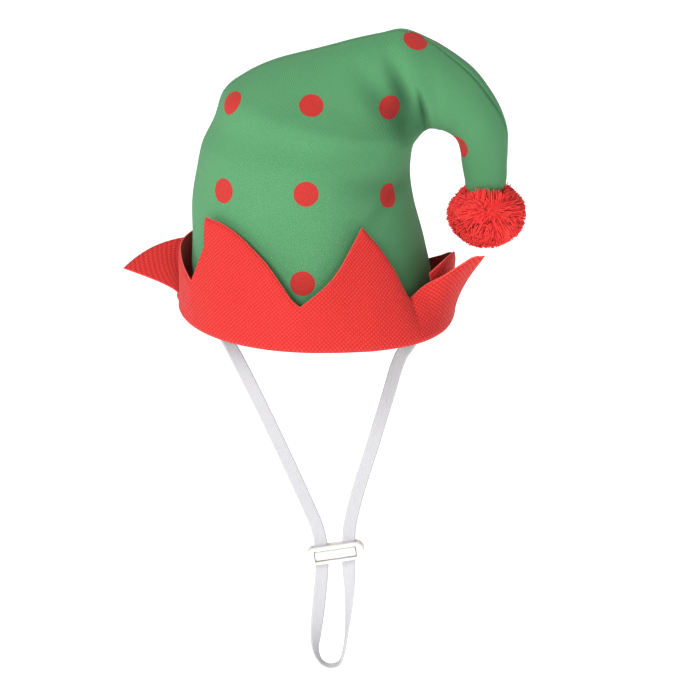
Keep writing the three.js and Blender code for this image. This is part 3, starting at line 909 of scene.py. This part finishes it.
def strap_section():
    """Cross-section of the elastic: flat, with soft ribs and round edges."""
    half, thick = STRAP_WIDE / 2, STRAP_THICK / 2
    top = []
    for i in range(STRAP_ACROSS + 1):
        across = -half + STRAP_WIDE * i / STRAP_ACROSS
        edge = 1 - abs(across) / half
        rib = STRAP_RIB_DEEP * math.cos(TAU * across / STRAP_RIB)
        thin = STRAP_EDGE_THIN + (1 - STRAP_EDGE_THIN) * math.sqrt(edge * STRAP_EDGE_STEEP)
        top.append((across, (thick - STRAP_RIB_DEEP + rib) * min(1, thin)))
    return top + [(across, -up) for across, up in reversed(top)]


def end_caps(rows, columns):
    """Faces that close the first and the last row of a wrapped grid of points."""
    first = tuple(range(columns))[::-1]
    return [first, tuple((rows - 1) * columns + c for c in range(columns))]


def make_strap():
    route = strap_route()
    line = Curve([(x, 0, z) for x, z, _ in route])
    twist = Curve([(i, 0, turn) for i, (_, _, turn) in enumerate(route)])
    section = strap_section()
    back = Vector((0, 1, 0))
    points, uvs = [], []
    long = 0
    before = line.at(0)
    for step in range(STRAP_STEPS + 1):
        share = step / STRAP_STEPS
        middle, along = line.at(share), line.slope(share)
        long += (middle - before).length
        before = middle
        turn = math.radians(twist.at(share).z)
        across = along.cross(back) * math.cos(turn) + back * math.sin(turn)
        out = across.cross(along)
        for side, up in section:
            points.append(middle + across * side + out * up)
            uvs.append((side, long))
    size = (STRAP_STEPS + 1, len(section))
    faces = grid_faces(*size, wrap=True) + end_caps(*size)
    strap = mesh_object("chin_elastic", points, faces, uvs)
    strap.data.materials.append(elastic_material())
    return strap


def rounded_plate(name, long, tall, deep, soft):
    """A plate in the XZ plane with round ends and rounded edges."""
    rounds = [math.pi / 2 * i / PLATE_ROUNDS for i in range(PLATE_ROUNDS + 1)]
    rings = [(-1, turned) for turned in rounds] + [(1, turned) for turned in rounds[::-1]]
    straight = long / 2 - tall / 2
    points = []
    for side, turned in rings:
        radius = tall / 2 - soft * (1 - math.sin(turned))
        depth = side * (deep / 2 - soft * (1 - math.cos(turned)))
        for i in range(PLATE_SIDES):
            angle = TAU * i / PLATE_SIDES
            x = math.cos(angle)
            across = x * radius + math.copysign(straight, x)
            points.append((across, depth, math.sin(angle) * radius))
    faces = grid_faces(len(rings), PLATE_SIDES, wrap=True, flip=True)
    faces += [face[::-1] for face in end_caps(len(rings), PLATE_SIDES)]
    return mesh_object(name, points, faces)


def cut_box(piece, low, high):
    """Cuts a box, given in millimetres, out of a piece."""
    wide, deep, tall = zip(low, high)
    corners = [(x, y, z) for x in wide for y in deep for z in tall]
    faces = [(0, 1, 3, 2), (4, 6, 7, 5), (0, 4, 5, 1), (2, 3, 7, 6), (0, 2, 6, 4), (1, 5, 7, 3)]
    tool = mesh_object("cutter", corners, faces)
    cut = piece.modifiers.new("cut", "BOOLEAN")
    cut.operation = "DIFFERENCE"
    cut.solver = "EXACT"
    cut.object = tool
    graph = bpy.context.evaluated_depsgraph_get()
    mesh = bpy.data.meshes.new_from_object(piece.evaluated_get(graph))
    piece.modifiers.remove(cut)
    piece.data = mesh
    bpy.data.objects.remove(tool)


def make_toggle():
    """The slide with its slot and seat, and the bar that grips the elastic."""
    body = rounded_plate("toggle_slide", TOGGLE_LONG, TOGGLE_TALL, TOGGLE_DEEP, TOGGLE_SOFT)
    drift = TOGGLE_TALL * math.tan(math.radians(TOGGLE_TILT))
    slot = (LEGS_APART + STRAP_WIDE + 2 * STRAP_GAP + drift) / 2
    deep = STRAP_THICK / 2 + STRAP_GAP
    cut_box(body, (-slot, -deep, -TOGGLE_TALL), (slot, deep, TOGGLE_TALL))
    top = TOGGLE_TALL / 2 - BAR_BELOW_TOP
    seat = BAR_LONG / 2 + GAP
    cut_box(body, (-seat, -TOGGLE_DEEP, top - BAR_TALL - GAP), (seat, 0, top + GAP))
    bar = make_bar(top)
    tilt = Matrix.Rotation(-math.radians(TOGGLE_TILT), 4, "Y")
    place = Matrix.Translation(Vector((TOGGLE_SHIFT, 0, -TOGGLE_DROP)) * MM) @ tilt
    plastic = plastic_material()
    for piece in (body, bar):
        piece.data.transform(place)
        piece.data.materials.clear()
        piece.data.materials.append(plastic)
        soften(piece)
    return body, bar


def soften(piece):
    """Rounds the sharp edges a little and shades the rest smooth."""
    bevel = piece.modifiers.new("bevel", "BEVEL")
    bevel.width = EDGE_ROUND * MM
    bevel.segments = 2
    bevel.limit_method = "ANGLE"
    bevel.angle_limit = math.radians(EDGE_ANGLE)
    for polygon in piece.data.polygons:
        polygon.use_smooth = True
    shade = piece.modifiers.new("normals", "WEIGHTED_NORMAL")
    shade.keep_sharp = True


def make_bar(top):
    """A half-round bar with its ends rounded, flat where it grips."""
    back = -STRAP_THICK / 2 - GAP
    middle = top - BAR_TALL / 2
    section = []
    for i in range(BAR_SIDES + 1):
        angle = math.pi * i / BAR_SIDES
        out = -BAR_DEEP * math.sin(angle) ** BAR_BULGE
        section.append((out, -math.cos(angle) * BAR_TALL / 2))
    points = []
    for across, size in BAR_STOPS:
        for y, z in section:
            points.append((across * BAR_LONG / 2, back + y * size, middle + z * size))
    size = (len(BAR_STOPS), len(section))
    return mesh_object("toggle_grip", points, grid_faces(*size, wrap=True) + end_caps(*size))


# Making the pompom


def make_pompom():
    """Yarn strands that lie over a soft core, fanning out from a whorl, with a collar of them
    standing up round the end of the peak."""
    dice = random.Random(YARN_SEED)
    noise.seed_set(YARN_SEED)
    end = OUTER.at(1) / 2 + INNER.at(1) / 2
    middle = end - Vector((0, 0, PEAK_END_UP * POMPOM_TALL))
    half = Vector((POMPOM_WIDE / 2, POMPOM_WIDE / 2, POMPOM_TALL / 2))
    whorl = Vector(WHORL).normalized()
    points, faces, painted_shades = pompom_core(middle, half)
    for i in range(STRAND_COUNT):
        height = 1 - (2 * i + 1) / STRAND_COUNT
        around = i * math.pi * GOLDEN_PART + dice.uniform(-0.05, 0.05)
        flat = math.sqrt(1 - height * height)
        way = Vector((flat * math.cos(around), flat * math.sin(around), height))
        line = strand_line(way, whorl, half, dice)
        add_strand(points, faces, painted_shades, [middle + p for p in line], dice)
    for _ in range(COLLAR_COUNT):
        add_strand(points, faces, painted_shades, [middle + p for p in collar_line(half, dice)], dice)
    ball = mesh_object("pompom_yarn", points, faces)
    point_values(ball, "shade", painted_shades)
    ball.data.materials.append(yarn_material())
    return ball


def stretched(way, half):
    """A direction made as long as the pompom's half sizes."""
    return Vector((way.x * half.x, way.y * half.y, way.z * half.z))


def pompom_core(middle, half):
    """An uneven ball under the strands, so that no gap shows between them, dark with painted shade.
    """
    points = []
    rows = CORE_SIDES // 2
    for r in range(rows + 1):
        up = math.pi * r / rows
        for c in range(CORE_SIDES):
            turn = TAU * c / CORE_SIDES
            flat = math.sin(up)
            way = Vector((flat * math.cos(turn), flat * math.sin(turn), math.cos(up)))
            reach = CORE_SIZE * (1 + 0.05 * noise.noise(way * 5))
            points.append(middle + stretched(way, half) * reach)
    faces = grid_faces(rows + 1, CORE_SIDES, wrap=True, flip=True)
    return points, faces, [CORE_PAINTED_SHADE] * len(points)


def strand_line(way, whorl, half, dice):
    """Points along one strand from its root to its tip, from the pompom's middle."""
    flow = way - whorl * way.dot(whorl)
    if flow.length < 0.05:
        flow = Vector((dice.uniform(-1, 1), 0, 1))
    flow.normalize()
    tuft = noise.noise_vector(way / TUFT_SIZE) * TUFT_PULL
    stray = Vector((dice.gauss(0, 1), dice.gauss(0, 1), dice.gauss(0, 1))) * STRAND_STRAY
    lean = dice.uniform(*STRAND_LEAN)
    tip_at = dice.uniform(*STRAND_TIP) + TUFT_BULGE * tuft.dot(way)
    line = []
    for share in STRAND_STOPS:
        reach = STRAND_ROOT + (tip_at - STRAND_ROOT) * share**0.55
        curl = (flow * lean + tuft + stray) * share**1.4
        line.append(stretched((way + curl).normalized() * reach, half))
    return line


def collar_line(half, dice):
    """Points along a strand that stands up beside the end of the peak."""
    turn = dice.uniform(0, TAU)
    out = Vector((math.cos(turn), math.sin(turn), 0))
    near = dice.uniform(*COLLAR_NEAR) * half.x
    top = (dice.uniform(*COLLAR_TALL) + COLLAR_FRONT * out.y**2) * half.z
    spread = dice.uniform(0, COLLAR_SPREAD) * half.x
    drift = Vector((dice.gauss(0, 1), dice.gauss(0, 1), 0)) * COLLAR_DRIFT
    start = COLLAR_FROM * half.z
    line = []
    for share in STRAND_STOPS:
        rise = Vector((0, 0, start + (top - start) * share))
        line.append(out * (near + spread * share**2) + drift * share + rise)
    return line


def add_strand(points, faces, painted_shades, line, dice):
    """Adds one strand, of a tone that differs at random, and lighter towards its tip and from tuft
    to tuft as painted light and shade.
    """
    thick = STRAND_THICK * dice.uniform(*STRAND_UNEVEN)
    # A random tone for each strand, plus painted shade between tufts and towards the root
    shade = 0.6 * dice.uniform(0, 1) + 0.8 * (noise.noise(line[-1] / TUFT_WIDE) + 0.25)
    start = len(points)
    for i, base in enumerate(line):
        share = STRAND_STOPS[i]
        along = (line[min(i + 1, len(line) - 1)] - line[max(i - 1, 0)]).normalized()
        side = along.orthogonal().normalized()
        other = along.cross(side)
        radius = thick * (1 - STRAND_TAPER * share**3)
        for k in range(STRAND_SIDES):
            angle = TAU * k / STRAND_SIDES
            points.append(base + (side * math.cos(angle) + other * math.sin(angle)) * radius)
            painted_shades.append(min(1, max(0, 0.5 * shade + 0.5 * share)))
    faces += grid_faces(len(line), STRAND_SIDES, wrap=True, start=start)
    last = start + (len(line) - 1) * STRAND_SIDES
    faces.append(tuple(last + k for k in range(STRAND_SIDES)))


# Materials


def new_material(name, color, rough, gloss=None):
    material = bpy.data.materials.new(name)
    material.use_nodes = True
    tree = material.node_tree
    shader = next(n for n in tree.nodes if n.type == "BSDF_PRINCIPLED")
    shader.inputs["Base Color"].default_value = (*linear(color), 1)
    shader.inputs["Roughness"].default_value = rough
    if gloss:
        sheen, sheen_rough, specular = gloss
        shader.inputs["Sheen Weight"].default_value = sheen
        shader.inputs["Sheen Roughness"].default_value = sheen_rough
        shader.inputs["Specular IOR Level"].default_value = specular
    return material, tree, shader


def linear_part(part):
    share = part / 255
    return share / 12.92 if share < 0.04045 else ((share + 0.055) / 1.055) ** 2.4


def linear(color):
    """A colour given as on the screen, as the shader wants it."""
    return [linear_part(part) for part in color]


def plug(tree, socket, value):
    """Links a value into a socket, or sets it there where it is a plain one."""
    if isinstance(value, bpy.types.NodeSocket):
        tree.links.new(value, socket)
    else:
        socket.default_value = value


def figure(tree, operation, *values):
    """One step of arithmetic in a material."""
    node = tree.nodes.new("ShaderNodeMath")
    node.operation = operation
    for socket, value in zip(node.inputs, values):
        plug(tree, socket, value)
    return node.outputs[0]


def cloth_place(tree, drift=0.0):
    """Across and up on the cloth, in millimetres, with the threads drifting a little."""
    node = tree.nodes.new("ShaderNodeUVMap")
    node.uv_map = "Cloth"
    split = tree.nodes.new("ShaderNodeSeparateXYZ")
    tree.links.new(node.outputs[0], split.inputs[0])
    across, up = split.outputs[0], split.outputs[1]
    if drift:
        across = figure(tree, "MULTIPLY_ADD", cloudy(tree, DRIFT_ACROSS, 1.0), drift, across)
        up = figure(tree, "MULTIPLY_ADD", cloudy(tree, DRIFT_UP, 1.0), drift, up)
    return across, up


def stored(tree, name):
    """A number that was stored for each point of the mesh."""
    node = tree.nodes.new("ShaderNodeAttribute")
    node.attribute_name = name
    return node.outputs["Fac"]


def cloudy(tree, size, detail=3.0):
    """Soft uneven value from 0 to 1, of blobs of about a size in millimetres."""
    place = tree.nodes.new("ShaderNodeTexCoord")
    node = tree.nodes.new("ShaderNodeTexNoise")
    tree.links.new(place.outputs["Object"], node.inputs["Vector"])
    node.inputs["Scale"].default_value = 1 / (size * MM)
    node.inputs["Detail"].default_value = detail
    return node.outputs[0]


def blend(tree, share, first, second):
    """A colour between two, each a colour or another blend."""
    node = tree.nodes.new("ShaderNodeMix")
    node.data_type = "RGBA"
    plug(tree, node.inputs[0], share)
    for socket, color in zip((node.inputs[6], node.inputs[7]), (first, second)):
        is_blend = isinstance(color, bpy.types.NodeSocket)
        plug(tree, socket, color if is_blend else (*linear(color), 1))
    return node.outputs[2]


def toward(tree, share, part, first, second):
    """A colour moved from the first to the second by a part of the share."""
    return blend(tree, figure(tree, "MULTIPLY", share, part), first, second)


def raised(tree, shader, height, relief):
    deep, strength = relief
    node = tree.nodes.new("ShaderNodeBump")
    node.inputs["Distance"].default_value = deep * MM
    node.inputs["Strength"].default_value = strength
    tree.links.new(height, node.inputs["Height"])
    tree.links.new(node.outputs[0], shader.inputs["Normal"])


def wave(tree, value, pitch, shift=0.0):
    """From 0 to 1 and back once for each pitch."""
    turned = figure(tree, "MULTIPLY_ADD", value, TAU / pitch, shift)
    return figure(tree, "MULTIPLY_ADD", figure(tree, "COSINE", turned), 0.5, 0.5)


def weave(tree, pitch):
    """Height of a weave of raised points in rows that slant by 45 degrees."""
    across, up = cloth_place(tree, WEAVE_DRIFT)
    slanted = pitch * math.sqrt(2)
    one = wave(tree, figure(tree, "ADD", across, up), slanted)
    two = wave(tree, figure(tree, "SUBTRACT", across, up), slanted)
    raised_points = figure(tree, "MULTIPLY", one, two)
    fluff = figure(tree, "MULTIPLY", cloudy(tree, FLUFF_SIZE), FLUFF)
    return figure(tree, "MULTIPLY_ADD", raised_points, 1 - FLUFF, fluff)


def dot_print(tree, height, painted_crease_shade):
    """Colour of the printed dots, with painted shade in creases and seams, and whether a place lies
    in one.
    """
    away = stored(tree, "dot")
    frayed = figure(tree, "MULTIPLY_ADD", height, PRINT_FRAY, away)
    inside = figure(tree, "LESS_THAN", frayed, PRINT_EDGE)
    from_rim = figure(tree, "ABSOLUTE", figure(tree, "ADD", away, DOT_RIM_AT))
    rim = figure(tree, "LESS_THAN", from_rim, DOT_RIM_WIDE)
    dot = blend(tree, height, DOT_LOW, DOT_HIGH)
    dot = toward(tree, rim, DOT_RIM_SHARE, dot, DOT_RIM)
    return toward(tree, painted_crease_shade, PAINTED_SHADE_SHARE, dot, DOT_PAINTED_SHADE), inside


def crown_material():
    material, tree, shader = new_material("green_print", GREEN, 0.78, CROWN_GLOSS)
    height = weave(tree, GREEN_PITCH)
    painted_crease_shade = stored(tree, "painted_crease_shade")
    cloth = blend(tree, height, GREEN_LOW, GREEN_HIGH)
    cloth = toward(tree, cloudy(tree, WORN_SIZE), WORN_SHARE, cloth, GREEN_WORN)
    # Painted shade in the creases and seams
    cloth = toward(tree, painted_crease_shade, PAINTED_SHADE_SHARE, cloth, GREEN_PAINTED_SHADE)
    dot, inside = dot_print(tree, height, painted_crease_shade)
    color = blend(tree, inside, cloth, dot)
    tree.links.new(color, shader.inputs["Base Color"])
    raised(tree, shader, height, CROWN_RELIEF)
    return material


def lining_material():
    material, tree, shader = new_material("green_inside", GREEN_BACK, 0.85)
    height = weave(tree, GREEN_PITCH)
    color = blend(tree, height, GREEN_LOW, GREEN_BACK)
    tree.links.new(color, shader.inputs["Base Color"])
    raised(tree, shader, height, LINING_RELIEF)
    return material


def cuff_material():
    material, tree, shader = new_material("red_cuff", RED_HIGH, 0.8, CUFF_GLOSS)
    height = weave(tree, RED_PITCH)
    color = blend(tree, figure(tree, "POWER", height, CUFF_WEAVE_POWER), RED_LOW, RED_HIGH)
    color = toward(tree, cloudy(tree, CUFF_UNEVEN_SIZE), CUFF_UNEVEN_SHARE, color, RED_LOW)
    near = figure(tree, "LESS_THAN", stored(tree, "from_cut"), CUT_PALE)
    color = toward(tree, near, CUT_PALE_SHARE, color, RED_CUT)
    tree.links.new(color, shader.inputs["Base Color"])
    raised(tree, shader, height, CUFF_RELIEF)
    return material


def cut_edge_material():
    material, tree, shader = new_material("red_cut_edge", RED_CUT, 0.85)
    color = blend(tree, cloudy(tree, CUT_FUZZ[0]), RED_CUT, RED_HIGH)
    tree.links.new(color, shader.inputs["Base Color"])
    raised(tree, shader, cloudy(tree, CUT_FUZZ[1]), CUT_RELIEF)
    return material


def elastic_material():
    material, tree, shader = new_material("white_elastic", ELASTIC, 0.6, ELASTIC_GLOSS)
    across, up = cloth_place(tree)
    ribs = figure(tree, "MULTIPLY", wave(tree, across, STRAP_RIB), RIB_SHARE)
    picks = figure(tree, "MULTIPLY", wave(tree, up, STRAP_PICK), 1 - RIB_SHARE)
    height = figure(tree, "ADD", ribs, picks)
    color = blend(tree, height, ELASTIC_LOW, ELASTIC)
    tree.links.new(color, shader.inputs["Base Color"])
    raised(tree, shader, height, ELASTIC_RELIEF)
    return material


def plastic_material():
    material, tree, shader = new_material("white_plastic", PLASTIC, 0.35)
    color = toward(tree, cloudy(tree, PLASTIC_UNEVEN[0]), PLASTIC_SHARE, PLASTIC, PLASTIC_LOW)
    tree.links.new(color, shader.inputs["Base Color"])
    raised(tree, shader, cloudy(tree, PLASTIC_UNEVEN[1]), PLASTIC_RELIEF)
    return material


def yarn_material():
    material, tree, shader = new_material("red_yarn", YARN, 0.9, YARN_GLOSS)
    # Painted shade at the roots and between tufts, mixed with a random tone for each strand
    color = blend(tree, stored(tree, "shade"), YARN_PAINTED_SHADE, YARN)
    color = toward(tree, cloudy(tree, YARN_LIGHT_SIZE), YARN_LIGHT_SHARE, color, YARN_LIGHT)
    tree.links.new(color, shader.inputs["Base Color"])
    raised(tree, shader, cloudy(tree, YARN_FUZZ), YARN_RELIEF)
    return material


# The studio


def look_at(piece, place, target):
    piece.location = place
    piece.rotation_mode = "QUATERNION"
    piece.rotation_quaternion = (Vector(target) - Vector(place)).to_track_quat("-Z", "Y")


def make_camera():
    raised_by = math.radians(CAMERA_ELEVATION)
    back = Vector((0, -math.cos(raised_by), math.sin(raised_by)))
    up = Vector((0, math.sin(raised_by), math.cos(raised_by)))
    target = Vector((AIM_RIGHT, 0, 0)) - up * AIM_DOWN
    data = bpy.data.cameras.new("camera")
    data.sensor_width = SENSOR_WIDE
    data.lens = SENSOR_WIDE * CAMERA_AWAY / VIEW_WIDE
    data.clip_start, data.clip_end = CLIP
    camera = bpy.data.objects.new("camera", data)
    bpy.context.scene.collection.objects.link(camera)
    look_at(camera, target + back * CAMERA_AWAY, target)
    bpy.context.scene.camera = camera


def make_light(name, place, size, power):
    data = bpy.data.lights.new(name, "AREA")
    data.shape = "DISK"
    data.size = size
    data.energy = power
    light = bpy.data.objects.new(name, data)
    bpy.context.scene.collection.objects.link(light)
    look_at(light, place, LIGHTS_AIM)


def make_floor():
    size = FLOOR_HALF / MM
    corners = [(-size, -size), (size, -size), (size, size), (-size, size)]
    piece = mesh_object("floor", [(x, y, FLOOR_LEVEL) for x, y in corners], [(0, 1, 2, 3)])
    material, _, shader = new_material("floor_paper", FLOOR_PAPER, 0.9)
    shader.inputs["Emission Color"].default_value = WHITE
    shader.inputs["Emission Strength"].default_value = FLOOR_GLOW
    piece.data.materials.append(material)


def make_studio():
    world = bpy.data.worlds.new("studio")
    world.use_nodes = True
    background = world.node_tree.nodes["Background"]
    background.inputs["Color"].default_value = WHITE
    background.inputs["Strength"].default_value = WORLD_LIGHT
    bpy.context.scene.world = world
    bpy.context.scene.view_settings.view_transform = "Standard"
    make_floor()
    for light in LIGHTS:
        make_light(*light)


def dress(piece, node):
    """Makes a piece ride on the body and stand for a node, whose part it hides."""
    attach(piece, BODY)
    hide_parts(node)


def main():
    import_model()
    make_camera()
    dress(make_crown(), "crown")
    front = make_cuff("cuff_front_cloth", FRONT_START + MIDDLE + FRONT_END, False, 11)
    back = make_cuff("cuff_back_cloth", BACK_START + MIDDLE + BACK_END, True, 23)
    dress(front, "cuff_front")
    dress(back, "cuff_back")
    dress(make_strap(), "chin_strap")
    body, bar = make_toggle()
    dress(body, "toggle")
    dress(bar, "toggle_bar")
    dress(make_pompom(), "pompom")
    make_studio()


main()
